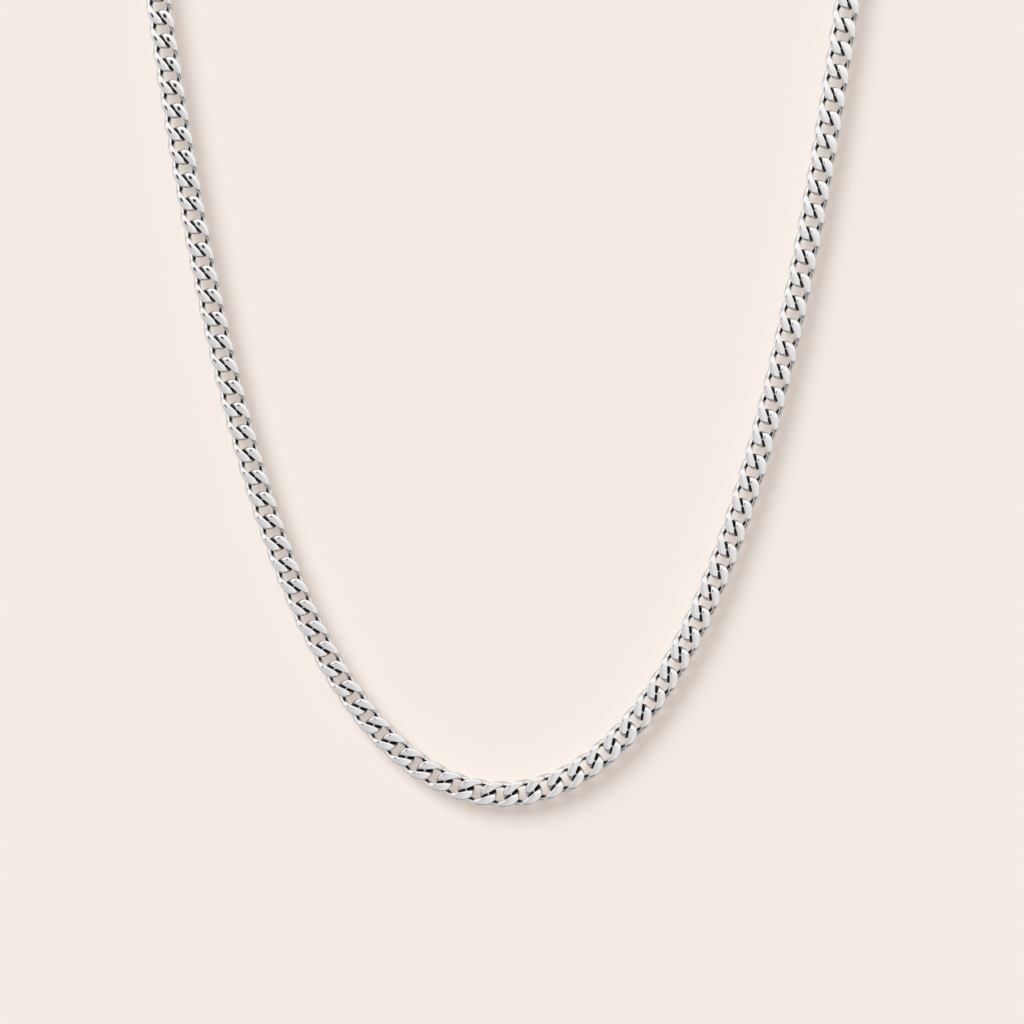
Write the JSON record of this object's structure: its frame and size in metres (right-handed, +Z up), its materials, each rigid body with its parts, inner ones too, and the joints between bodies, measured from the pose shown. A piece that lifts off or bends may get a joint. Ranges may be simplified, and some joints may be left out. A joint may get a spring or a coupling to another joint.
{
  "type": "cuban link chain necklace",
  "caption": "Curb link neck chain of twisted, pressed silver links, hanging in a deep U and closed at the nape by a plain box clasp.",
  "frame": {"origin": "where the inner face of the clasp rests on the nape of the neck", "axes": "+Z up, +Y backwards out of the nape, +X to the wearer's left; the front of the chain hangs in the plane 80 mm towards -Y"},
  "size_m": [0.1148, 0.0825, 0.1781],
  "materials": {
    "link_silver": "brightly polished sterling silver, flat faces finely lapped",
    "clasp_silver": "brightly polished sterling silver"
  },
  "bodies": {
    "root": {"chain_left": "link_silver", "chain_right": "link_silver", "clasp": "clasp_silver"}
  },
  "joints": []
}
